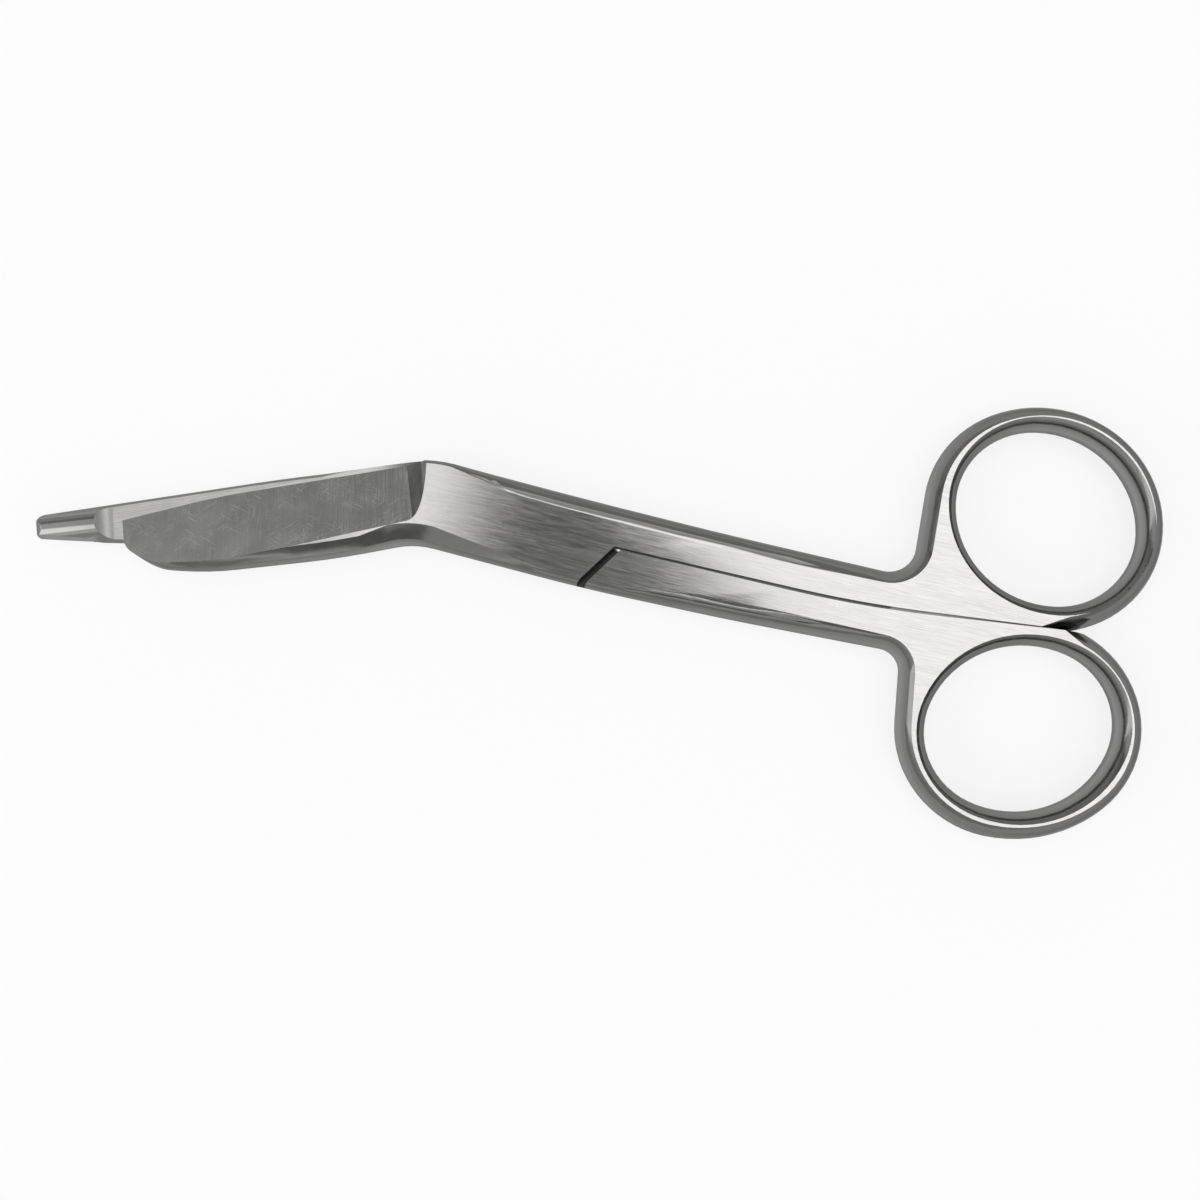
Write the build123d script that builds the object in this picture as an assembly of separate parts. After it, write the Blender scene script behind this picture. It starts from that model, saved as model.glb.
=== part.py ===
from build123d import *
import math
import os

# Bandage scissors: two forged halves that lap each other at the joint, held by one screw.
# Millimetres. The origin is the pivot axis on the plane that the scissors lie on.
# +X runs along the closed handles towards the finger rings, and +Z is the side with no screw head.

# Thickness across the ground flats. The halves slide on each other at half of it.
thickness = 5.2
overrun = 1.2
far = 120.0

# Edge sections of the forging, from the flash line at mid height up to the flat. The wall leans in
# by its inset over its rise, and a bevel runs on from there to where the flat starts.
wall_bow = 0.07
bevel_bow = 0.04
edge_reach = 2.6
ring_wall_inset = 0.75
ring_wall_rise = 1.75
ring_flat_inset = 1.6
hole_wall_inset = 0.3
hole_wall_rise = 1.45
hole_flat_inset = 1.2
hole_bow = 0.1
shank_wall_inset = 0.7
shank_wall_rise = 1.9
shank_flat_inset = 2.1
shank_bow = 0.16
elbow_wall_inset = 0.3
elbow_wall_rise = 2.1
elbow_flat_inset = 0.75
waist_wall_inset = 0.42
waist_wall_rise = 2.0
waist_flat_inset = 1.0
bend_wall_inset = 0.68
bend_wall_rise = 1.83
bend_flat_inset = 2.55
back_wall_inset = 0.47
back_wall_rise = 1.7
back_flat_inset = 1.85
belly_wall_inset = 0.4
belly_wall_rise = 1.7
belly_flat_inset = 1.35
nose_wall_inset = 0.37
nose_wall_rise = 1.7
nose_flat_inset = 1.1

# Outline of the lapped joint and the two shanks
elbow_x = -9.2
elbow_y = 5.94
elbow_radius = 16.0
upper_joint_x = 9.5
upper_joint_y = 5.24
upper_joint_radius = 800.0
upper_shank_x = 28.0
upper_shank_y = 4.85
upper_shank_radius = 600.0
lower_joint_x = 13.0
lower_joint_y = -5.6
lower_joint_radius = 250.0
lower_shank_x = 31.0
lower_shank_y = -5.2
lower_shank_radius = 350.0

# Finger rings: ovals with their long axes splayed from the handle line
ring_x = 63.81
upper_ring_y = 14.86
upper_ring_long = 13.78
upper_ring_short = 13.12
upper_ring_turn = 154.0
upper_ring_split = 30.0
upper_hole_shift_x = 0.4
upper_hole_shift_y = 0.14
upper_hole_long = 10.8
upper_hole_short = 9.77
upper_hole_turn = 145.0
hole_split = 45.0
lower_ring_shift_x = 2.45
lower_ring_y = -9.66
lower_ring_long = 13.85
lower_ring_short = 12.59
lower_ring_turn = 27.7
lower_ring_split = 65.0
lower_hole_shift_x = 0.15
lower_hole_shift_y = 0.04
lower_hole_long = 10.75
lower_hole_short = 9.45
lower_hole_turn = 33.4

# Crotches, where a shank turns up or down into the side of its ring
upper_crotch_back = 12.96
upper_crotch_y = 4.74
upper_crotch_radius = 3.1
lower_crotch_back = 14.76
lower_crotch_y = -4.28
lower_crotch_radius = 2.6

# Parting line between the halves: straight beside the joint, then bent towards the rings
parting_y = -0.05
parting_bend_x = 45.8
parting_bend_radius = 140.0
parting_slope = 0.113
joint_gap = 0.24
shank_gap = 0.48
ring_gap = 0.1
upper_leave_shift = 5.55
lower_leave_shift = 5.0
lead_in = 4.5

# Slanted steps where each half drops to half thickness
step_x = 16.27
step_lean = 0.656
step_gap = 0.85

# Blade line: distances are measured from here, along the blades and across them
blade_start_x = -9.4
blade_angle = 201.0

# Short blade, which lies in front
short_heel_along = -1.3
short_heel_across = -5.05
short_edge_along = 27.0
short_edge_across = -4.82
short_edge_radius = 90.0
short_tip_along = 40.07
short_tip_across = -3.58
short_nose_along = 39.75
short_nose_across = 0.3
short_nose_radius = 3.0
short_chin_along = 35.8
short_chin_across = 3.44
short_chin_radius = 8.0
short_belly_along = 29.0
short_belly_across = 4.8
short_belly_radius = 45.0
short_back_along = 12.0
short_back_across = 5.33
short_back_radius = 110.0
inner_bend_x = -9.1
inner_bend_y = -5.1
inner_bend_radius = 11.0

# Long blade, which lies behind and carries the blunt probe tip
long_back_along = 17.7
long_back_across = -6.2
long_back_radius = 280.0
long_heel_along = 1.6
long_edge_across = 4.3

# Ground facets that thin each blade to its cutting edge
edge_land = 0.42
facet_slope = 0.26
facet_radius = 5.0
short_facet_across = -6.27
short_facet_drift = 0.072
short_facet_stop = -2.83
long_facet_stop = 0.4

# Probe tip of the long blade
ramp_foot_along = 41.4
ramp_radius = 2.4
tip_root_along = 41.9
tip_root_across = -0.71
tip_cheek_along = 44.6
tip_cheek_across = -1.27
tip_length = 11.1
tip_chin_across = -2.95
tip_corner_radius = 1.42
tip_back_across = -6.22
tip_crown_radius = 2.0
tip_crown_spread = 45.0
tip_crown_height = 4.05
tip_crown_fall = 1.3
tip_crown_across = -3.6
tip_crown_drift = -0.75
tip_nose_inset = 1.65
tip_nose_height = 2.95
tip_nose_bow = 0.2

# Edge section of the long blade and its tip, which are widest below the sliding plane
blade_waist_height = 1.5
blade_side_inset = 0.6
blade_side_rise = 1.1
blade_top_inset = 1.35
blade_top_rise = 2.2
blade_foot_inset = 0.3
blade_foot_rise = 0.75
blade_sole_inset = 0.6
blade_carry = 0.05
root_side_inset = 0.2
root_top_inset = 0.8

# Pivot screw, with its head sunk in the back of the long half
head_diameter = 6.4
head_height = 1.1
head_sink = 0.15
head_edge = 0.2
neck_diameter = 4.2
thread_diameter = 3.4
thread_skin = 0.9
slot_width = 0.8
slot_depth = 0.55
neck_clearance = 0.05
head_clearance = 0.08

slide_height = thickness / 2
mid_share = 0.5
up = Vector(0, 0, 1)

# Edge sections. Each holds its flash line's height, and for the sides above and below it the wall's
# inset, rise and bow, the flat's inset and rise, the bevel's bow, and how far the bevel is carried on.
ring_wall = (ring_wall_inset, ring_wall_rise, wall_bow)
ring_side = ring_wall + (ring_flat_inset, slide_height, bevel_bow, overrun)
hole_wall = (hole_wall_inset, hole_wall_rise, hole_bow)
hole_side = hole_wall + (hole_flat_inset, slide_height, hole_bow, overrun)
shank_wall = (shank_wall_inset, shank_wall_rise, wall_bow)
shank_side = shank_wall + (shank_flat_inset, slide_height, shank_bow, overrun)
elbow_wall = (elbow_wall_inset, elbow_wall_rise, bevel_bow)
elbow_side = elbow_wall + (elbow_flat_inset, slide_height, bevel_bow, overrun)
waist_wall = (waist_wall_inset, waist_wall_rise, bevel_bow)
waist_side = waist_wall + (waist_flat_inset, slide_height, bevel_bow, overrun)
bend_wall = (bend_wall_inset, bend_wall_rise, wall_bow)
bend_side = bend_wall + (bend_flat_inset, slide_height, bevel_bow, overrun)
back_wall = (back_wall_inset, back_wall_rise, bevel_bow)
back_side = back_wall + (back_flat_inset, slide_height, bevel_bow, overrun)
belly_wall = (belly_wall_inset, belly_wall_rise, bevel_bow)
belly_side = belly_wall + (belly_flat_inset, slide_height, bevel_bow, overrun)
nose_wall = (nose_wall_inset, nose_wall_rise, bevel_bow)
nose_side = nose_wall + (nose_flat_inset, slide_height, bevel_bow, overrun)
blade_wall = (blade_side_inset, blade_side_rise, wall_bow)
blade_upper = blade_wall + (blade_top_inset, blade_top_rise, wall_bow, blade_carry)
blade_foot = (blade_foot_inset, blade_foot_rise, bevel_bow)
blade_lower = blade_foot + (blade_sole_inset, blade_waist_height, bevel_bow, blade_carry)
root_wall = (root_side_inset, blade_side_rise, bevel_bow)
root_upper = root_wall + (root_top_inset, blade_top_rise, bevel_bow, blade_carry)
ring_edge = (slide_height, ring_side, ring_side)
hole_edge = (slide_height, hole_side, hole_side)
shank_edge = (slide_height, shank_side, shank_side)
elbow_edge = (slide_height, elbow_side, elbow_side)
waist_edge = (slide_height, waist_side, waist_side)
bend_edge = (slide_height, bend_side, bend_side)
back_edge = (slide_height, back_side, back_side)
belly_edge = (slide_height, belly_side, belly_side)
nose_edge = (slide_height, nose_side, nose_side)
blade_edge = (blade_waist_height, blade_upper, blade_lower)
root_edge = (blade_waist_height, root_upper, blade_lower)


def blade(along, across):
    """Point in the plane, from its distance along the blades and across them."""
    turn = math.radians(blade_angle)
    x = blade_start_x + along * math.cos(turn) - across * math.sin(turn)
    y = along * math.sin(turn) + across * math.cos(turn)
    return (x, y)


def blade_place(point):
    """Distances along the blades and across them of a point in the plane."""
    turn = math.radians(blade_angle)
    x = point.X - blade_start_x
    along = x * math.cos(turn) + point.Y * math.sin(turn)
    across = point.Y * math.cos(turn) - x * math.sin(turn)
    return along, across


def oval(x, y, long, short, turn, split):
    """Oval of four tangent arcs. The end arcs reach to the split angle on both sides of the long axis."""
    angle = math.radians(split)
    offset = (long - short) / (1 + math.tan(angle) - 1 / math.cos(angle))
    end_radius = long - offset
    right, high = offset + end_radius * math.cos(angle), end_radius * math.sin(angle)
    arcs = [
        ThreePointArc((right, -high), (long, 0), (right, high)),
        ThreePointArc((right, high), (0, short), (-right, high)),
        ThreePointArc((-right, high), (-long, 0), (-right, -high)),
        ThreePointArc((-right, -high), (0, -short), (right, -high)),
    ]
    return Location((x, y), turn) * make_face(arcs)


def touch_point(corner, ring):
    """Where a line from the corner touches the side of the ring that looks towards the joint."""
    found = []
    for arc in ring.edges():
        back = Vector(*corner) - arc.arc_center
        if back.length < arc.radius:
            continue
        swing = math.degrees(math.acos(arc.radius / back.length))
        for turn in (swing, -swing):
            point = arc.arc_center + back.normalized().rotate(Axis.Z, turn) * arc.radius
            if point.X < ring.center().X - arc.radius / 2:
                found.append((arc.distance_to(point), point.X, point.Y))
    return min(found)[1:]


def outline(rows):
    """Closed face from rows that start with a corner and its radius."""
    corners = [row[0] for row in rows]
    radii = [row[1] for row in rows]
    return make_face(FilletPolyline(*corners, radius=radii, close=True).edges())


def prism(face, low, high):
    """Upright solid over a face, between two heights."""
    return Pos(0, 0, low) * extrude(face, amount=high - low, dir=(0, 0, 1))


def side_line(profile, direction):
    """Lines of one side of an edge section: the bowed wall, the bevel beyond it and the way out.

    The outward direction is x, and y is the height from the flash line."""
    wall_in, wall_up, wall_out, flat_in, flat_up, bevel_out, carry = profile
    wall_length = math.hypot(wall_in, wall_up)
    bevel_in, bevel_up = flat_in - wall_in, flat_up - wall_up
    bevel_length = math.hypot(bevel_in, bevel_up)
    last = math.atan2(bevel_up, bevel_in) - math.atan(bevel_out * 2 / bevel_length) * 2
    wall = (
        wall_out * wall_up / wall_length - wall_in / 2,
        (wall_out * wall_in / wall_length + wall_up / 2) * direction,
    )
    bevel = (
        bevel_out * bevel_up / bevel_length - (wall_in + flat_in) / 2,
        (bevel_out * bevel_in / bevel_length + (wall_up + flat_up) / 2) * direction,
    )
    crease = (-wall_in, wall_up * direction)
    flat = (-flat_in, flat_up * direction)
    over = (-flat_in - carry * math.cos(last), (flat_up + carry * math.sin(last)) * direction)
    high = thickness * 2 * direction
    lines = [
        ThreePointArc((0, 0), wall, crease),
        ThreePointArc(crease, bevel, flat),
        Polyline(flat, over, (over[0], high), (edge_reach, high)),
    ]
    return [edge for line in lines for edge in line.edges()]


def section_on(edge, share, outward, section):
    """All that lies outside an edge section, set upright across an edge at a share of its length."""
    height, upper, lower = section
    outside = Line((edge_reach, thickness * 2), (edge_reach, -thickness * 2))
    profile = make_face(side_line(upper, 1) + side_line(lower, -1) + outside.edges())
    across = edge.tangent_at(share).cross(up) * outward
    seat = Plane(origin=edge.position_at(share) + up * height, x_dir=across, z_dir=across.cross(up))
    return seat * profile


def outward_of(edge, face):
    """1 where the face lies on the left of an edge's own direction, and -1 where it lies on the right."""
    probe = edge.position_at(mid_share) + edge.tangent_at(mid_share).cross(up) * (wall_bow / 2)
    return -1 if face.is_inside(probe) else 1


def carried(edge, outward, start, end):
    """Waste outside the edge section carried along an edge. A line may end in another section."""
    first = section_on(edge, 0, outward, start)
    if edge.geom_type == GeomType.CIRCLE:
        spoke = edge.position_at(0) - edge.arc_center
        spin = 1 if spoke.cross(edge.tangent_at(0)).Z > 0 else -1
        turn = math.degrees(edge.length / edge.radius)
        return revolve(first, axis=Axis(edge.arc_center, up * spin), revolution_arc=turn)
    if start == end:
        return extrude(first, amount=edge.length, dir=edge.tangent_at(0))
    return loft([first, section_on(edge, 1, outward, end)], ruled=True)


def sections_of(edge, rows):
    """Edge sections at the start and the end of an edge that runs along the rows."""
    middle = edge.position_at(mid_share)
    if edge.geom_type == GeomType.CIRCLE:
        nearest = min(rows, key=lambda row: (middle - Vector(*row[0])).length)
        return nearest[2], nearest[2]
    stray = []
    for place, (row, after) in enumerate(zip(rows, rows[1:] + rows[:1])):
        first, last = Vector(*row[0]), Vector(*after[0])
        stray.append(((middle - first).length + (last - middle).length - (last - first).length, place))
    place = min(stray)[1]
    row, after = rows[place], rows[(place + 1) % len(rows)]
    first = Vector(*row[0])
    if (edge.position_at(0) - first).length < (edge.position_at(1) - first).length:
        return row[2], after[2]
    return after[2], row[2]


def parting_rows(side):
    """Corners of the parting line as one half has it, with that half's share of the gap."""
    touch_x = ring_x + upper_leave_shift
    touch_y = parting_y + (touch_x - parting_bend_x) * parting_slope
    end_y = parting_y + (far - parting_bend_x) * parting_slope
    return [
        ((parting_bend_x, parting_y + side * shank_gap / 2), parting_bend_radius),
        ((touch_x, touch_y + side * ring_gap / 2), 0),
        ((far, end_y + side * ring_gap / 2), 0),
    ]


def waste(side, holds_joint):
    """Face that a half gives up in one layer. The upper half has side 1 and the lower half -1.

    In the layer where it holds the joint, a half keeps all that lies left of the step."""
    open_side = -side if holds_joint else side
    corner_x = step_x - step_gap / 2 if holds_joint else step_x + step_gap / 2
    corner_y = parting_y + side * joint_gap / 2
    open_x = corner_x - step_lean * elbow_radius
    open_y = corner_y + open_side * elbow_radius
    rows = [((open_x, open_y), 0), ((corner_x, corner_y), 0)] + parting_rows(side)
    rows.append(((far, -side * far), 0))
    if holds_joint:
        rows.append(((open_x, -side * far), 0))
    else:
        rows.append(((-far, -side * far), 0))
        rows.append(((-far, open_y), 0))
    return outline(rows)


def ring_rows(ring, crotch, crotch_radius, leave_x, other_y):
    """Corners that carry a shank into its ring, from the crotch to where ring and parting line part."""
    centre = ring.center()
    return [
        (crotch, crotch_radius, ring_edge),
        (touch_point(crotch, ring), 0, ring_edge),
        ((centre.X, centre.Y), 0, ring_edge),
        ((leave_x, centre.Y), 0, ring_edge),
        ((leave_x, other_y), 0, ring_edge),
    ]


def upper_rows():
    """Corners of the upper side, from the elbow to the end of the shank."""
    return [
        ((elbow_x, elbow_y), elbow_radius, elbow_edge),
        ((upper_joint_x, upper_joint_y), upper_joint_radius, shank_edge),
        ((upper_shank_x, upper_shank_y), upper_shank_radius, shank_edge),
    ]


def lower_rows():
    """Corners of the lower side, from the end of the shank to the back of the short blade."""
    return [
        ((lower_shank_x, lower_shank_y), lower_shank_radius, shank_edge),
        ((lower_joint_x, lower_joint_y), lower_joint_radius, waist_edge),
        ((inner_bend_x, inner_bend_y), inner_bend_radius, bend_edge),
        (blade(short_back_along, short_back_across), short_back_radius, back_edge),
    ]


def short_rows():
    """Corners of the short blade, from its back round the nose to the long blade's back."""
    return [
        (blade(short_belly_along, short_belly_across), short_belly_radius, belly_edge),
        (blade(short_chin_along, short_chin_across), short_chin_radius, nose_edge),
        (blade(short_nose_along, short_nose_across), short_nose_radius, nose_edge),
        (blade(short_tip_along, short_tip_across), 0, nose_edge),
        (blade(short_tip_along, long_back_across), 0, elbow_edge),
        (blade(long_back_along, long_back_across), long_back_radius, elbow_edge),
    ]


def long_rows():
    """Corners of the long blade, from its heel round the probe tip to its back."""
    tip_chin_along = tip_root_along + tip_length
    return [
        (blade(tip_root_along, short_back_across), 0, blade_edge),
        (blade(tip_root_along, tip_root_across), 0, root_edge),
        (blade(tip_cheek_along, tip_cheek_across), 0, blade_edge),
        (blade(tip_chin_along, tip_chin_across), tip_corner_radius, blade_edge),
        (blade(tip_chin_along, tip_back_across), tip_corner_radius, blade_edge),
        (blade(long_back_along, long_back_across), long_back_radius, blade_edge),
    ]


def forging(rows, ring, hole, side, leave_x):
    """One half with its full outline, its worked edges and its finger hole, not yet parted.

    Each row holds a corner, its radius and its edge section."""
    plan = outline(rows) + ring
    body = prism(offset(plan, amount=overrun), 0, thickness)
    ground = short_tip_across if side > 0 else tip_root_across
    for edge in plan.edges():
        middle = edge.position_at(mid_share)
        along, across = blade_place(middle)
        if along > long_heel_along + inner_bend_radius / 4 and side * across < side * ground:
            continue
        if side * middle.Y < 0 and middle.X > step_x:
            continue
        outward = outward_of(edge, plan)
        round_edge = edge.geom_type == GeomType.CIRCLE
        if round_edge and (edge.arc_center - ring.center()).length < edge.radius / 2:
            body -= carried(edge, outward, ring_edge, ring_edge)
            for share, way in ((0, -1), (1, 1)):
                end = edge.position_at(share)
                if abs(end.X - leave_x) < wall_bow:
                    lead = Edge.make_line(end, end + edge.tangent_at(share) * (way * lead_in))
                    body -= carried(lead, outward * way, ring_edge, elbow_edge)
        else:
            body -= carried(edge, outward, *sections_of(edge, rows))
    body -= prism(offset(hole, amount=-overrun), 0, thickness)
    around = make_face(Rectangle(far * 2, far * 2).edges()) - hole
    for edge in hole.edges():
        body -= carried(edge, outward_of(edge, around), hole_edge, hole_edge)
    return body


def facet_tool(start_across, drift, stop):
    """Ground away above a sloping floor, with a round run-out at the joint end of the blade.

    Drawn along and across the blades, with the cutting edge on the low side of the floor."""
    turn, tilt = math.atan(drift), math.atan(facet_slope)
    contour = Vector(math.cos(turn), math.sin(turn), 0)
    rising = Vector(-math.sin(turn) * math.cos(tilt), math.cos(turn) * math.cos(tilt), math.sin(tilt))
    origin = (stop, start_across + drift * stop, slide_height + edge_land)
    seat = Plane(origin=origin, x_dir=contour, z_dir=rising * -1)
    lift = facet_radius * (1 - math.sqrt(1 / 2))
    floor = [
        Line((far, 0), (facet_radius, 0)),
        ThreePointArc((facet_radius, 0), (lift, lift), (0, facet_radius)),
        Polyline((0, facet_radius), (0, thickness * 2), (far, thickness * 2), (far, 0)),
    ]
    profile = make_face([edge for line in floor for edge in line.edges()])
    return extrude(seat * profile, amount=far, both=True)


def round_hole(radius, depth):
    """Hole about the pivot axis, up from the back."""
    return Cylinder(radius, depth, align=(Align.CENTER, Align.CENTER, Align.MIN))


def turned_over(shape):
    """The same shape drawn for the other side of the sliding plane."""
    return Pos(0, 0, thickness) * Rot(180, 0, 0) * shape


blade_frame = Location((blade_start_x, 0, 0), (0, 0, blade_angle))


def short_blade_half():
    """The half with the short blade in front and the upper ring."""
    upper_ring = oval(
        ring_x, upper_ring_y, upper_ring_long, upper_ring_short, upper_ring_turn, upper_ring_split
    )
    upper_hole = oval(
        ring_x + upper_hole_shift_x,
        upper_ring_y + upper_hole_shift_y,
        upper_hole_long,
        upper_hole_short,
        upper_hole_turn,
        hole_split,
    )
    crotch = (ring_x - upper_crotch_back, upper_crotch_y)
    leave_x = ring_x + upper_leave_shift
    ring_end = ring_rows(upper_ring, crotch, upper_crotch_radius, leave_x, lower_crotch_y)
    rows = upper_rows() + ring_end + lower_rows() + short_rows()
    half = forging(rows, upper_ring, upper_hole, 1, leave_x)
    half -= prism(waste(1, True), slide_height, thickness + overrun)
    half -= prism(waste(1, False), -overrun, slide_height)
    nose_slope = (short_tip_along - short_nose_along) / (short_nose_across - short_tip_across)
    clear_along = short_tip_along + elbow_radius
    edge_waste = outline([
        ((short_heel_along, -far), 0),
        ((short_heel_along, short_heel_across), 0),
        ((short_edge_along, short_edge_across), short_edge_radius),
        ((short_tip_along, short_tip_across), 0),
        ((clear_along, short_tip_across + nose_slope * elbow_radius), 0),
        ((clear_along, -far), 0),
    ])
    half -= blade_frame * prism(edge_waste, slide_height - overrun, thickness + overrun)
    half -= blade_frame * facet_tool(short_facet_across, short_facet_drift, short_facet_stop)
    return half - round_hole(thread_diameter / 2, thickness - thread_skin)


def tip_crown_tool():
    """Above the rounded top of the probe tip, which falls away towards its end."""
    length = tip_root_along + tip_length - ramp_foot_along
    lean = Vector(length, tip_crown_drift, -tip_crown_fall)
    origin = Vector(ramp_foot_along, tip_crown_across, tip_crown_height) - lean * (overrun / length)
    seat = Plane(origin=origin, x_dir=(0, 1, 0), z_dir=lean)
    spread = math.radians(tip_crown_spread)
    side, drop = tip_crown_radius * math.sin(spread), tip_crown_radius * (1 - math.cos(spread))
    crown = ThreePointArc((-side, -drop), (0, 0), (side, -drop))
    low = -drop - (thickness - side) * math.tan(spread)
    rest = Polyline(
        (side, -drop),
        (thickness, low),
        (thickness, thickness),
        (-thickness, thickness),
        (-thickness, low),
        (-side, -drop),
    )
    return extrude(seat * make_face(crown.edges() + rest.edges()), amount=length + overrun * 4)


def tip_nose_tool():
    """Outside the sloping front of the probe tip, from its waist up to its crown."""
    end = tip_root_along + tip_length
    shoulder = end - tip_nose_inset
    rise = tip_nose_height - blade_waist_height
    slope_length = math.hypot(tip_nose_inset, rise)
    middle = (
        (end + shoulder) / 2 + tip_nose_bow * rise / slope_length,
        (blade_waist_height + tip_nose_height) / 2 + tip_nose_bow * tip_nose_inset / slope_length,
    )
    front = ThreePointArc((end, blade_waist_height), middle, (shoulder, tip_nose_height))
    rest = Polyline(
        (shoulder, tip_nose_height),
        (shoulder, thickness * 2),
        (end + overrun, thickness * 2),
        (end + overrun, blade_waist_height),
        (end, blade_waist_height),
    )
    return extrude(Plane.XZ * make_face(front.edges() + rest.edges()), amount=far, both=True)


def ramp_tool():
    """The round ramp that rises from the long blade's inner face to the top of the probe tip."""
    high = slide_height + ramp_radius
    lift = ramp_radius * (1 - math.sqrt(1 / 2))
    run = ramp_radius * math.sqrt(1 / 2)
    edges = [
        Line((ramp_foot_along - overrun, slide_height), (ramp_foot_along, slide_height)),
        ThreePointArc(
            (ramp_foot_along, slide_height),
            (ramp_foot_along + run, slide_height + lift),
            (ramp_foot_along + ramp_radius, high),
        ),
        Polyline(
            (ramp_foot_along + ramp_radius, high),
            (ramp_foot_along + ramp_radius, thickness + overrun),
            (ramp_foot_along - overrun, thickness + overrun),
            (ramp_foot_along - overrun, slide_height),
        ),
    ]
    profile = make_face([edge for line in edges for edge in line.edges()])
    return extrude(Plane.XZ * profile, amount=far, both=True)


def long_blade_half():
    """The half with the long blade behind, its probe tip and the lower ring."""
    lower_ring_x = ring_x + lower_ring_shift_x
    lower_ring = oval(
        lower_ring_x, lower_ring_y, lower_ring_long, lower_ring_short, lower_ring_turn, lower_ring_split
    )
    lower_hole = oval(
        lower_ring_x + lower_hole_shift_x,
        lower_ring_y + lower_hole_shift_y,
        lower_hole_long,
        lower_hole_short,
        lower_hole_turn,
        hole_split,
    )
    crotch = (lower_ring_x - lower_crotch_back, lower_crotch_y)
    leave_x = lower_ring_x + lower_leave_shift
    ring_end = ring_rows(lower_ring, crotch, lower_crotch_radius, leave_x, upper_crotch_y)
    rows = upper_rows() + ring_end[::-1] + lower_rows() + long_rows()
    half = forging(rows, lower_ring, lower_hole, -1, leave_x)
    beyond_ramp = outline([
        ((ramp_foot_along, -far), 0),
        ((far, -far), 0),
        ((far, far), 0),
        ((ramp_foot_along, far), 0),
    ])
    front_waste = waste(-1, False) - blade_frame * beyond_ramp
    half -= prism(front_waste, slide_height, thickness + overrun)
    half -= prism(waste(-1, True), -overrun, slide_height)
    edge_slope = (tip_root_across - long_edge_across) / tip_root_along
    edge_waste = outline([
        ((long_heel_along, far), 0),
        ((long_heel_along, long_edge_across + edge_slope * long_heel_along), 0),
        ((tip_root_along, tip_root_across), 0),
        ((tip_root_along + far, tip_root_across + far), 0),
    ])
    half -= blade_frame * prism(edge_waste, -overrun, thickness + overrun)
    facet = facet_tool(-long_edge_across, -edge_slope, long_facet_stop)
    half -= blade_frame * turned_over(facet)
    half -= blade_frame * ramp_tool()
    half -= blade_frame * tip_crown_tool()
    half -= blade_frame * tip_nose_tool()
    half -= round_hole(head_diameter / 2 + head_clearance, head_sink + head_height)
    return half - round_hole(neck_diameter / 2 + neck_clearance, thickness)


def pivot_screw():
    """Slotted screw: flat head in the back, plain neck in the long half, thread in the short half."""
    seat_height = head_sink + head_height
    profile = Polyline(
        (0, head_sink),
        (head_diameter / 2 - head_edge, head_sink),
        (head_diameter / 2, head_sink + head_edge),
        (head_diameter / 2, seat_height),
        (neck_diameter / 2, seat_height),
        (neck_diameter / 2, slide_height),
        (thread_diameter / 2, slide_height),
        (thread_diameter / 2, thickness - thread_skin),
        (0, thickness - thread_skin),
        (0, head_sink),
    )
    screw = revolve(Plane.XZ * make_face(profile.edges()), axis=Axis.Z)
    slot = Pos(0, 0, head_sink + slot_depth / 2) * Box(head_diameter * 2, slot_width, slot_depth)
    return screw - slot


if __name__ == "__main__":
    os.makedirs("parts", exist_ok=True)
    pieces = {
        "short_blade_half": short_blade_half(),
        "long_blade_half": long_blade_half(),
        "pivot_screw": pivot_screw(),
    }
    for name, piece in pieces.items():
        print(name, len(piece.solids()), round(piece.volume, 2), piece.is_valid)
        export_step(piece, "parts/" + name + ".step")
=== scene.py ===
import math

import bmesh
import bpy
from mathutils import Matrix, Vector


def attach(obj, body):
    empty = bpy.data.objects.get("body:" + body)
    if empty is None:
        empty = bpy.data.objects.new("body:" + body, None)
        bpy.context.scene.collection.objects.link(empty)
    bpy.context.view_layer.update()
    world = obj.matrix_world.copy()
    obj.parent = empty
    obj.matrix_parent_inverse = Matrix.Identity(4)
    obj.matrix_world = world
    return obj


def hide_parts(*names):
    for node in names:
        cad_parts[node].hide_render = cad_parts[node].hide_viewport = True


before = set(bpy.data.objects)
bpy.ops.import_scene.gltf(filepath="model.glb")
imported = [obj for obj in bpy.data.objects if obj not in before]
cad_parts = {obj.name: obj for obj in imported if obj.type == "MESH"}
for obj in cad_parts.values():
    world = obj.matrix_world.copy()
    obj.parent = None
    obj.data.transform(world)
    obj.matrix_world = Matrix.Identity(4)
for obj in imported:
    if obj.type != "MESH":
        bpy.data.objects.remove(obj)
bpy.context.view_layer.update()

# Short blade half
# One stainless forging: flats ground and brushed along the shank, bevels and ring polished,
# and a cutting facet ground darker, with a steep run-out at the bend.

MM = 0.001
SHARP_TURN = math.radians(13)
PLACE_DIGITS = 8
MERGE_DISTANCE = 1e-8
FLATS_WEIGHT = 100


def edge_ends(points):
    """An edge's two ends, rounded and sorted, so that both faces beside it give the same pair."""
    return tuple(sorted(tuple(round(v, PLACE_DIGITS) for v in point) for point in points))


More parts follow.
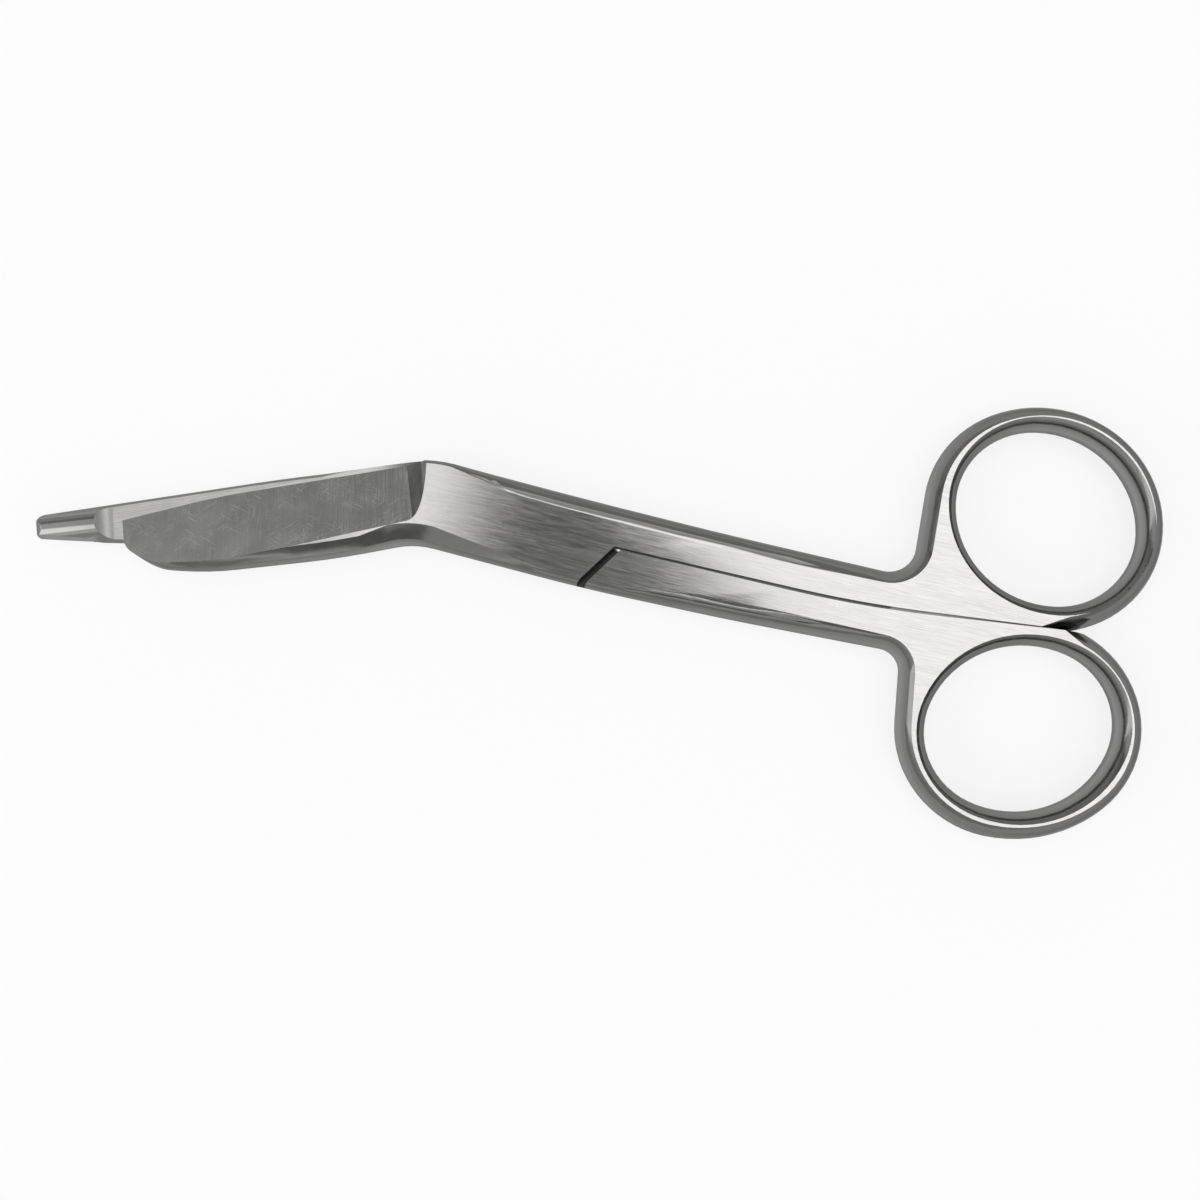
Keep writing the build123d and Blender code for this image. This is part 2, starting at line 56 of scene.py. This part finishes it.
def true_creases(mesh):
    """The edges where the CAD's own normals turn sharply from one face to the next."""
    normals = [Vector(normal.vector) for normal in mesh.corner_normals]
    sides_of = {}
    for polygon in mesh.polygons:
        loops = list(polygon.loop_indices)
        points = [mesh.vertices[mesh.loops[loop].vertex_index].co for loop in loops]
        for place, loop in enumerate(loops):
            after = (place + 1) % len(loops)
            ends = edge_ends((points[place], points[after]))
            sides_of.setdefault(ends, []).append((normals[loop], normals[loops[after]]))
    creases = set()
    for ends, sides in sides_of.items():
        if len(sides) != 2:
            continue
        first, second = sides
        pairs = ((first[0], second[1]), (first[1], second[0]))
        if max(a.angle(b, 0) for a, b in pairs) > SHARP_TURN:
            creases.add(ends)
    return creases


def dressed_copy(node, finish_of):
    """The CAD body as one clean skin: doubles merged, true creases kept, a finish for each face."""
    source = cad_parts[node].data
    creases = true_creases(source)
    skin = bmesh.new()
    skin.from_mesh(source)
    bmesh.ops.remove_doubles(skin, verts=skin.verts, dist=MERGE_DISTANCE)
    for edge in skin.edges:
        edge.smooth = edge_ends(vert.co for vert in edge.verts) not in creases
    clean = bpy.data.meshes.new(node + "_skin")
    skin.to_mesh(clean)
    skin.free()
    for attribute in ("custom_normal", "sharp_face"):
        if attribute in clean.attributes:
            clean.attributes.remove(clean.attributes[attribute])
    finishes = []
    for polygon in clean.polygons:
        polygon.use_smooth = True
        finish = finish_of(polygon.center, polygon.normal)
        if finish not in finishes:
            finishes.append(finish)
        polygon.material_index = finishes.index(finish)
    for finish in finishes:
        clean.materials.append(finish)
    piece = bpy.data.objects.new(node + "_finished", clean)
    bpy.context.scene.collection.objects.link(piece)
    settle = piece.modifiers.new("settle_flats", "WEIGHTED_NORMAL")
    settle.keep_sharp = True
    settle.weight = FLATS_WEIGHT
    return piece


def node_group(name, inputs, outputs):
    """An empty shader group with the named sockets."""
    tree = bpy.data.node_groups.new(name, "ShaderNodeTree")
    for label, kind, value in inputs:
        socket = tree.interface.new_socket(label, in_out="INPUT", socket_type="NodeSocket" + kind)
        socket.default_value = value
    for label, kind in outputs:
        tree.interface.new_socket(label, in_out="OUTPUT", socket_type="NodeSocket" + kind)
    return tree, tree.nodes.new("NodeGroupInput"), tree.nodes.new("NodeGroupOutput")


def maths(tree, operation, *values):
    """A maths node. Each value is a number or a socket to link from."""
    node = tree.nodes.new("ShaderNodeMath")
    node.operation = operation
    for socket, value in zip(node.inputs, values):
        if isinstance(value, (int, float)):
            socket.default_value = value
        else:
            tree.links.new(value, socket)
    return node.outputs[0]


def share(tree, value, amount):
    """A value times an amount."""
    return maths(tree, "MULTIPLY", value, amount)


def noise(tree, vector, detail, roughness=0.55, distortion=0.0):
    """A noise texture over a vector that is already counted in grains."""
    node = tree.nodes.new("ShaderNodeTexNoise")
    node.inputs["Scale"].default_value = 1.0
    node.inputs["Detail"].default_value = detail
    node.inputs["Roughness"].default_value = roughness
    node.inputs["Distortion"].default_value = distortion
    tree.links.new(vector, node.inputs["Vector"])
    return node.outputs["Fac"]


def soft_step(tree, value, low, high, to_low=0.0, to_high=1.0):
    """A smooth change from to_low to to_high while the value goes from low to high."""
    node = tree.nodes.new("ShaderNodeMapRange")
    node.interpolation_type = "SMOOTHSTEP"
    node.inputs["From Min"].default_value = low
    node.inputs["From Max"].default_value = high
    node.inputs["To Min"].default_value = to_low
    node.inputs["To Max"].default_value = to_high
    tree.links.new(value, node.inputs["Value"])
    return node.outputs["Result"]


def stretched(tree, vector, size, start=(0, 0, 0)):
    """The vector divided by a grain size in metres along each axis, from a start in grains."""
    node = tree.nodes.new("ShaderNodeVectorMath")
    node.operation = "MULTIPLY_ADD"
    node.inputs[1].default_value = [1 / length for length in size]
    node.inputs[2].default_value = start
    tree.links.new(vector, node.inputs[0])
    return node.outputs[0]


def axes_of(tree, vector):
    """The X, Y and Z of a vector."""
    node = tree.nodes.new("ShaderNodeSeparateXYZ")
    tree.links.new(vector, node.inputs[0])
    return node.outputs


# Grinding lines along the group's x axis: long faint bands, fine lines, and a few deeper scores.
BAND_GRAIN = (16 * MM, 0.8 * MM, 0.8 * MM)
LINE_GRAIN = (3.2 * MM, 0.08 * MM, 0.08 * MM)
SCORE_GRAIN = (2.2 * MM, 0.12 * MM, 0.12 * MM)
grinding, lines_in, lines_out = node_group(
    "grinding_lines",
    [("Vector", "Vector", (0, 0, 0))],
    [("Bands", "Float"), ("Lines", "Float"), ("Scores", "Float")],
)
bands = noise(grinding, stretched(grinding, lines_in.outputs[0], BAND_GRAIN), detail=1.0)
fine = noise(grinding, stretched(grinding, lines_in.outputs[0], LINE_GRAIN), detail=2.0)
deep = noise(grinding, stretched(grinding, lines_in.outputs[0], SCORE_GRAIN), detail=0.0)
grinding.links.new(bands, lines_out.inputs["Bands"])
grinding.links.new(fine, lines_out.inputs["Lines"])
grinding.links.new(soft_step(grinding, deep, 0.70, 0.80), lines_out.inputs["Scores"])

# Hair scratches from use: three crossing sets of short, nearly straight lines, in patches.
HAIR_GRAIN = (2.8 * MM, 0.06 * MM, 1.0 * MM)
HAIR_PATCH = (5 * MM, 5 * MM, 5 * MM)
HAIR_TURNS_AND_STARTS = ((0.6, 3.1), (1.75, 8.7), (2.7, 15.3))
scratches, hair_in, hair_out = node_group(
    "hair_scratches",
    [("Vector", "Vector", (0, 0, 0)), ("Amount", "Float", 0.5)],
    [("Hairs", "Float")],
)
hair_sets = []
for turn, start in HAIR_TURNS_AND_STARTS:
    turned = scratches.nodes.new("ShaderNodeMapping")
    turned.inputs["Rotation"].default_value = (0, 0, turn)
    scratches.links.new(hair_in.outputs["Vector"], turned.inputs["Vector"])
    grain = stretched(scratches, turned.outputs[0], HAIR_GRAIN, (start, start, start))
    hair = noise(scratches, grain, detail=0.0)
    patches = stretched(scratches, turned.outputs[0], HAIR_PATCH, (start, 0, 0))
    where = soft_step(scratches, noise(scratches, patches, detail=1.0), 0.42, 0.60)
    hair_sets.append(share(scratches, soft_step(scratches, hair, 0.73, 0.79), where))
hairs = maths(scratches, "MAXIMUM", hair_sets[0], hair_sets[1])
hairs = maths(scratches, "MAXIMUM", hairs, hair_sets[2])
hairs = share(scratches, hairs, hair_in.outputs["Amount"])
scratches.links.new(hairs, hair_out.inputs["Hairs"])


def steel(name, base, roughness, anisotropic=0.0, turn=0.0):
    """A steel finish: material, tree, shader and an object-space vector turned to the grinding."""
    finish = bpy.data.materials.new(name)
    finish.use_nodes = True
    tree = finish.node_tree
    shader = tree.nodes["Principled BSDF"]
    shader.inputs["Metallic"].default_value = 1.0
    shader.inputs["Base Color"].default_value = (*base, 1)
    shader.inputs["Roughness"].default_value = roughness
    shader.inputs["Anisotropic"].default_value = anisotropic
    place = tree.nodes.new("ShaderNodeTexCoord")
    turned = tree.nodes.new("ShaderNodeMapping")
    turned.vector_type = "TEXTURE"
    turned.inputs["Rotation"].default_value = (0, 0, turn)
    tree.links.new(place.outputs["Object"], turned.inputs["Vector"])
    if anisotropic:
        # The tangent lies across the grinding, so that a reflection spreads across it.
        across = tree.nodes.new("ShaderNodeVectorTransform")
        across.vector_type = "VECTOR"
        across.convert_from = "OBJECT"
        across.convert_to = "WORLD"
        across.inputs[0].default_value = (-math.sin(turn), math.cos(turn), 0)
        tree.links.new(across.outputs[0], shader.inputs["Tangent"])
    return finish, tree, shader, turned.outputs[0]


def tinted(tree, mask, *colours):
    """A mix of two colours by a mask. Each is three numbers or a socket to link from."""
    node = tree.nodes.new("ShaderNodeMix")
    node.data_type = "RGBA"
    tree.links.new(mask, node.inputs["Factor"])
    for label, colour in zip("AB", colours):
        if isinstance(colour, tuple):
            node.inputs[label].default_value = (*colour, 1)
        else:
            tree.links.new(colour, node.inputs[label])
    return node.outputs["Result"]


def bumped(tree, shader, height, strength, distance):
    """Relief from a height that varies over the surface."""
    node = tree.nodes.new("ShaderNodeBump")
    node.inputs["Strength"].default_value = strength
    node.inputs["Distance"].default_value = distance
    tree.links.new(height, node.inputs["Height"])
    tree.links.new(node.outputs[0], shader.inputs["Normal"])


def placed_group(tree, group, vector, **values):
    """A shared group placed in a material, with its own values."""
    node = tree.nodes.new("ShaderNodeGroup")
    node.node_tree = group
    tree.links.new(vector, node.inputs["Vector"])
    for label, value in values.items():
        node.inputs[label].default_value = value
    return node.outputs


# Where things lie on both forgings. The blade's own direction is turned from the shank's.
SLIDE_HEIGHT = 2.6 * MM
BLADE_ANGLE = math.radians(201)
BEND_X = -9 * MM
STEP_X = 9 * MM
SHANK_END_X = 50 * MM
LINE_DEPTH = 0.008 * MM
WEAR_DEPTH = 0.01 * MM

# The flats are brushed along the shank, with a few hair scratches.
FLAT_DARK = (0.44, 0.435, 0.425)
FLAT_LIGHT = (0.585, 0.58, 0.57)
flat_finish, tree, shader, along_shank = steel("brushed_flat", (0.52, 0.515, 0.505), 0.15, 0.55)
lines = placed_group(tree, grinding, along_shank)
hairs = placed_group(tree, scratches, along_shank, Amount=0.25)["Hairs"]
bands = share(tree, lines["Bands"], 0.25)
brushing = maths(tree, "ADD", bands, share(tree, lines["Lines"], 0.75))
brushing = soft_step(tree, brushing, 0.3, 0.7)
tree.links.new(tinted(tree, brushing, FLAT_DARK, FLAT_LIGHT), shader.inputs["Base Color"])
rough = soft_step(tree, brushing, 0.0, 1.0, 0.12, 0.18)
rough = maths(tree, "ADD", rough, share(tree, hairs, 0.15))
tree.links.new(rough, shader.inputs["Roughness"])
relief = maths(tree, "ADD", lines["Lines"], share(tree, lines["Scores"], 0.5))
relief = maths(tree, "SUBTRACT", relief, share(tree, hairs, 0.7))
bumped(tree, shader, relief, 0.25, LINE_DEPTH)

# The cutting facet is ground across the blade, most plainly near the bend, and scratched by use.
FACET_DARK = (0.31, 0.31, 0.305)
FACET_LIGHT = (0.56, 0.56, 0.55)
STREAK_GRAIN = (0.12 * MM, 5 * MM, 5 * MM)
STREAKS_FADE_FROM = 8 * MM
STREAKS_FADE_TO = 24 * MM
CLOUD_GRAIN = (4 * MM, 4 * MM, 4 * MM)
facet_finish, tree, shader, along_blade = steel(
    "blade_facet", (0.42, 0.42, 0.415), 0.26, 0.4, BLADE_ANGLE
)
streaks = noise(tree, stretched(tree, along_blade, STREAK_GRAIN), 2.0, 0.5, 0.6)
from_bend = axes_of(tree, along_blade)["X"]
streak_share = soft_step(tree, from_bend, STREAKS_FADE_FROM, STREAKS_FADE_TO, 1.0, 0.25)
streaks = share(tree, maths(tree, "SUBTRACT", streaks, 0.5), streak_share)
hairs = placed_group(tree, scratches, along_blade, Amount=1.0)["Hairs"]
cloud = noise(tree, stretched(tree, along_blade, CLOUD_GRAIN), detail=2.0)
tone = maths(tree, "ADD", share(tree, cloud, 0.35), share(tree, streaks, 0.8))
tone = maths(tree, "ADD", tone, share(tree, hairs, 0.5))
grey = tinted(tree, soft_step(tree, tone, 0.0, 0.6), FACET_DARK, FACET_LIGHT)
tree.links.new(grey, shader.inputs["Base Color"])
tree.links.new(soft_step(tree, tone, 0.0, 0.6, 0.24, 0.30), shader.inputs["Roughness"])
relief = maths(tree, "SUBTRACT", streaks, share(tree, hairs, 0.6))
bumped(tree, shader, relief, 0.3, WEAR_DEPTH)

# The edges are polished. Their colour holds a painted dark reflection: darker than the flats, and
# darkest towards the crease, because they would only mirror the white table otherwise.
EDGE_DARK = (0.17, 0.168, 0.165)
EDGE_LIGHT = (0.31, 0.308, 0.305)
SMEAR_GRAIN = (1.5 * MM, 1.5 * MM, 0.6 * MM)
LIGHT_TO = 0.5 * MM
DARK_FROM = 2.0 * MM
edge_finish, tree, shader, along_edge = steel("polished_edge_painted_reflection", (0.25, 0.248, 0.245), 0.15)
shader.inputs["Specular Tint"].default_value = (0.45, 0.45, 0.45, 1)
smear = noise(tree, stretched(tree, along_edge, SMEAR_GRAIN), detail=4.0)
height = axes_of(tree, along_edge)["Z"]
from_flash = maths(tree, "ABSOLUTE", maths(tree, "SUBTRACT", height, SLIDE_HEIGHT))
# Painted dark reflection: lightest near the flash line, darkest from DARK_FROM out towards the
# crease, with a little random smear.
painted_reflection_and_smear = soft_step(tree, from_flash, LIGHT_TO, DARK_FROM, 1.0, 0.0)
painted_reflection_and_smear = maths(tree, "ADD", share(tree, painted_reflection_and_smear, 0.75), share(tree, smear, 0.25))
tree.links.new(tinted(tree, painted_reflection_and_smear, EDGE_DARK, EDGE_LIGHT), shader.inputs["Base Color"])
tree.links.new(soft_step(tree, smear, 0.3, 0.7, 0.11, 0.19), shader.inputs["Roughness"])
bumped(tree, shader, smear, 0.15, WEAR_DEPTH)

# The lapped faces hold painted shade at the joint, between the halves, which ends a little way
# along the blade.
SHADE_DARK = (0.06, 0.06, 0.06)
SHADE_LIGHT = (0.13, 0.13, 0.125)
SHADE_GRAIN = (2 * MM, 2 * MM, 2 * MM)
SHADE_END = 7 * MM
SHADE_FADE = 9 * MM
lap_finish, tree, shader, along_lap = steel("lapped_face", (0.3, 0.3, 0.3), 0.3, 0.5, BLADE_ANGLE)
lines = placed_group(tree, grinding, along_lap)
# Painted shade between the halves: a dark mottled grey at the joint, which gives way to the ground
# flats' colour along the blade.
shade_mottle = noise(tree, stretched(tree, along_lap, SHADE_GRAIN), detail=3.0)
clean = soft_step(tree, axes_of(tree, along_lap)["X"], SHADE_END, SHADE_END + SHADE_FADE)
painted_shade = tinted(tree, shade_mottle, SHADE_DARK, SHADE_LIGHT)
ground = tinted(tree, soft_step(tree, lines["Lines"], 0.3, 0.7), FLAT_DARK, FLAT_LIGHT)
tree.links.new(tinted(tree, clean, painted_shade, ground), shader.inputs["Base Color"])
tree.links.new(soft_step(tree, clean, 0.0, 1.0, 0.4, 0.18), shader.inputs["Roughness"])
bumped(tree, shader, lines["Lines"], 0.2, LINE_DEPTH)

# Which finish a face gets. Facing is how squarely it looks up or down, from 0 to 1.
FLAT_FACING = 0.9995
ROLL_FACING = 0.9
WALL_FACING = 0.01
FACET_FACING_MIN = 0.955
FACET_FACING_MAX = 0.975
LAP_TOLERANCE = 0.02 * MM
LAP_REACH_Y = 3 * MM
ROLL_REACH_Y = 8 * MM
FACET_END_X = -47.6 * MM


def forged_finish(centre, normal):
    """The finish of a face, by which way it looks and where it lies on the forging."""
    facing = abs(normal.z)
    if facing > FLAT_FACING:
        lapped = abs(centre.z - SLIDE_HEIGHT) < LAP_TOLERANCE
        return lap_finish if lapped else flat_finish
    if FACET_FACING_MIN < facing < FACET_FACING_MAX and centre.x < BEND_X:
        if normal.z < 0 or centre.x > FACET_END_X:
            return facet_finish
    on_shank = BEND_X < centre.x < SHANK_END_X
    roll_start = BEND_X if centre.y > 0 else STEP_X
    rolled = centre.x > roll_start and abs(centre.y) < ROLL_REACH_Y
    if facing > ROLL_FACING and on_shank and rolled:
        return flat_finish
    if facing < WALL_FACING and on_shank and abs(centre.y) < LAP_REACH_Y:
        return lap_finish
    return edge_finish


short_half = dressed_copy("short_blade_half", forged_finish)
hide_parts("short_blade_half")
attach(short_half, "short_half")

# Long blade half
# The matching forging, which lies behind at the blades. Its inner face shows as a light strip,
# and its blunt probe tip is polished by hand.

RAMP_DARK = (0.33, 0.328, 0.32)
RAMP_LIGHT = (0.46, 0.458, 0.45)
WHEEL_GRAIN = (0.5 * MM, 0.12 * MM, 0.5 * MM)
RAMP_END_X = -40 * MM
RAMP_LEAN = -0.04
RAMP_FACING = 0.1

ramp_finish, tree, shader, along_ramp = steel("ground_ramp", (0.40, 0.398, 0.39), 0.4)
shader.inputs["Specular Tint"].default_value = (0.6, 0.6, 0.6, 1)
wheel = noise(tree, stretched(tree, along_ramp, WHEEL_GRAIN), detail=2.0)
tree.links.new(tinted(tree, wheel, RAMP_DARK, RAMP_LIGHT), shader.inputs["Base Color"])
tree.links.new(soft_step(tree, wheel, 0.3, 0.7, 0.34, 0.44), shader.inputs["Roughness"])
bumped(tree, shader, wheel, 0.2, LINE_DEPTH)


def long_half_finish(centre, normal):
    """The forging's finish, with the ramp up from the probe tip left as ground."""
    lean = normal.x * math.cos(BLADE_ANGLE) + normal.y * math.sin(BLADE_ANGLE)
    near_tip = centre.x < RAMP_END_X and centre.z > SLIDE_HEIGHT
    if near_tip and lean < RAMP_LEAN and normal.z > RAMP_FACING:
        return ramp_finish
    return forged_finish(centre, normal)


long_half = dressed_copy("long_blade_half", long_half_finish)
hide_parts("long_blade_half")
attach(long_half, "long_half")

# Pivot screw
# A turned steel screw with a slotted flat head, sunk in the back of the long half.

SCREW_DARK = (0.38, 0.375, 0.37)
SCREW_LIGHT = (0.46, 0.455, 0.45)
RING_PITCH = 0.35 * MM
RING_DEPTH = 0.006 * MM

screw_finish, tree, shader, along_screw = steel("turned_screw", (0.42, 0.415, 0.41), 0.24)
rings = tree.nodes.new("ShaderNodeTexWave")
rings.wave_type = "RINGS"
rings.rings_direction = "Z"
rings.inputs["Scale"].default_value = 1 / RING_PITCH
rings.inputs["Distortion"].default_value = 0.5
tree.links.new(along_screw, rings.inputs["Vector"])
turned_grey = tinted(tree, rings.outputs["Fac"], SCREW_DARK, SCREW_LIGHT)
tree.links.new(turned_grey, shader.inputs["Base Color"])
bumped(tree, shader, rings.outputs["Fac"], 0.3, RING_DEPTH)
screw = dressed_copy("pivot_screw", lambda centre, normal: screw_finish)
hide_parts("pivot_screw")
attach(screw, "short_half")

# Stage
# A pale table, a room of soft light and the camera, which looks down from above the shanks.

TABLE_REACH = 1.5
TABLE_GREY = 0.97
TABLE_ROUGHNESS = 0.9
WHITE_SHARE = 0.8
corners = [(x * TABLE_REACH, y * TABLE_REACH, 0) for x, y in ((-1, -1), (1, -1), (1, 1), (-1, 1))]
table_mesh = bpy.data.meshes.new("table")
table_mesh.from_pydata(corners, [], [(0, 1, 2, 3)])
table = bpy.data.objects.new("table", table_mesh)
bpy.context.scene.collection.objects.link(table)
pale = bpy.data.materials.new("pale_table")
pale.use_nodes = True
pale_tree = pale.node_tree
pale_shader = pale_tree.nodes["Principled BSDF"]
pale_shader.inputs["Base Color"].default_value = (TABLE_GREY, TABLE_GREY, TABLE_GREY, 1)
pale_shader.inputs["Roughness"].default_value = TABLE_ROUGHNESS
pale_shader.inputs["Specular IOR Level"].default_value = 0.0
white = pale_tree.nodes.new("ShaderNodeEmission")
seen = pale_tree.nodes.new("ShaderNodeLightPath").outputs
by_eye = maths(pale_tree, "MAXIMUM", seen["Is Camera Ray"], seen["Is Glossy Ray"])
by_eye = maths(pale_tree, "MAXIMUM", by_eye, seen["Is Transmission Ray"])
both = pale_tree.nodes.new("ShaderNodeMixShader")
pale_tree.links.new(share(pale_tree, by_eye, WHITE_SHARE), both.inputs["Fac"])
pale_tree.links.new(pale_shader.outputs[0], both.inputs[1])
pale_tree.links.new(white.outputs[0], both.inputs[2])
pale_tree.links.new(both.outputs[0], pale_tree.nodes["Material Output"].inputs["Surface"])
table_mesh.materials.append(pale)

# The room's light is soft but not even: its boxes and shades lie where the steel has to mirror
# them. A slant is how far a direction leans from straight up, along x or y.
LOWEST_RISE = 0.02
world = bpy.data.worlds.new("studio")
bpy.context.scene.world = world
world.use_nodes = True
room_tree = world.node_tree
background = room_tree.nodes["Background"]
background.inputs["Color"].default_value = (1, 1, 1, 1)
direction = room_tree.nodes.new("ShaderNodeTexCoord")
towards = axes_of(room_tree, direction.outputs["Generated"])
rise = maths(room_tree, "MAXIMUM", towards["Z"], LOWEST_RISE)
slant_x = maths(room_tree, "DIVIDE", towards["X"], rise)
slant_y = maths(room_tree, "DIVIDE", towards["Y"], rise)
squares = [maths(room_tree, "MULTIPLY", lean, lean) for lean in (slant_x, slant_y)]
slant = maths(room_tree, "SQRT", maths(room_tree, "ADD", *squares))


def above(value, edge, soft):
    """1 above an edge, 0 below it, with a soft change."""
    return soft_step(room_tree, value, edge - soft, edge + soft)


def below(value, edge, soft):
    """1 below an edge, 0 above it, with a soft change."""
    return soft_step(room_tree, value, edge - soft, edge + soft, 1.0, 0.0)


def lit(room, light, *sides):
    """The room with a box or shade of its own light, bounded by its sides."""
    mask = sides[0]
    for side in sides[1:]:
        mask = share(room_tree, mask, side)
    change = share(room_tree, maths(room_tree, "SUBTRACT", light, room), mask)
    return maths(room_tree, "ADD", room, change)


# The walls are dimmer than the ceiling.
WALL_LIGHT = 0.6
CEILING_LIGHT = 1.3
room = soft_step(room_tree, towards["Z"], 0.12, 0.45, WALL_LIGHT, CEILING_LIGHT)

# The far side, and a shade on the near side.
FAR_EDGE = 0.44
FAR_SHADE = 0.36
FAR_WALL = 0.6
NEAR_SHADE = 0.34
room = lit(room, FAR_SHADE, above(slant_y, FAR_EDGE, 0.06))
room = lit(room, FAR_WALL, above(slant_y, 1.3, 0.3))
room = lit(
    room,
    NEAR_SHADE,
    below(slant_y, -0.62, 0.1),
    above(slant_y, -1.9, 0.3),
    above(slant_x, -0.5, 0.1),
    below(slant_x, 0.7, 0.1),
)

# The wide box overhead, and its weaker left side.
OVERHEAD_BOX = 1.68
OVERHEAD_LEFT = 0.9
room = lit(room, OVERHEAD_BOX, below(slant, 0.58, 0.06))
room = lit(
    room,
    OVERHEAD_LEFT,
    below(slant_x, -0.39, 0.03),
    below(slant_y, FAR_EDGE, 0.06),
    above(towards["Z"], 0.42, 0.08),
)

# A dark strip through the overhead box. The flats mirror it, which gives them their dark band.
DARK_STRIP = 0.14
across = maths(room_tree, "ADD", slant_x, share(room_tree, slant_y, 0.7))
room = lit(
    room,
    DARK_STRIP,
    below(across, 0.01, 0.03),
    above(slant_x, -0.29, 0.04),
    below(slant_y, 0.5, 0.06),
    above(slant_y, -0.5, 0.06),
)

# The bright box low at the left.
LEFT_BOX = 2.3
room = lit(
    room,
    LEFT_BOX,
    below(slant_x, -0.75, 0.05),
    above(slant_y, -1.3, 0.1),
    below(slant_y, -0.4, 0.1),
)
room_tree.links.new(room, background.inputs["Strength"])

# The camera's place and turn come from the photo's perspective. Its rows are the world axes.
CAMERA = (
    (0.962559, -0.231743, 0.140626, 34.317886 * MM),
    (0.240074, 0.969699, -0.045258, -12.595549 * MM),
    (-0.125876, 0.077324, 0.989028, 135.924835 * MM),
    (0, 0, 0, 1),
)
SENSOR_WIDTH = 36
FOCAL_LENGTH = 33
NEAREST_SEEN = 0.005
camera_data = bpy.data.cameras.new("camera")
camera_data.sensor_width = SENSOR_WIDTH
camera_data.lens = FOCAL_LENGTH
camera_data.clip_start = NEAREST_SEEN
camera = bpy.data.objects.new("camera", camera_data)
bpy.context.scene.collection.objects.link(camera)
camera.matrix_world = Matrix(CAMERA)
bpy.context.scene.camera = camera
bpy.context.scene.view_settings.view_transform = "Standard"
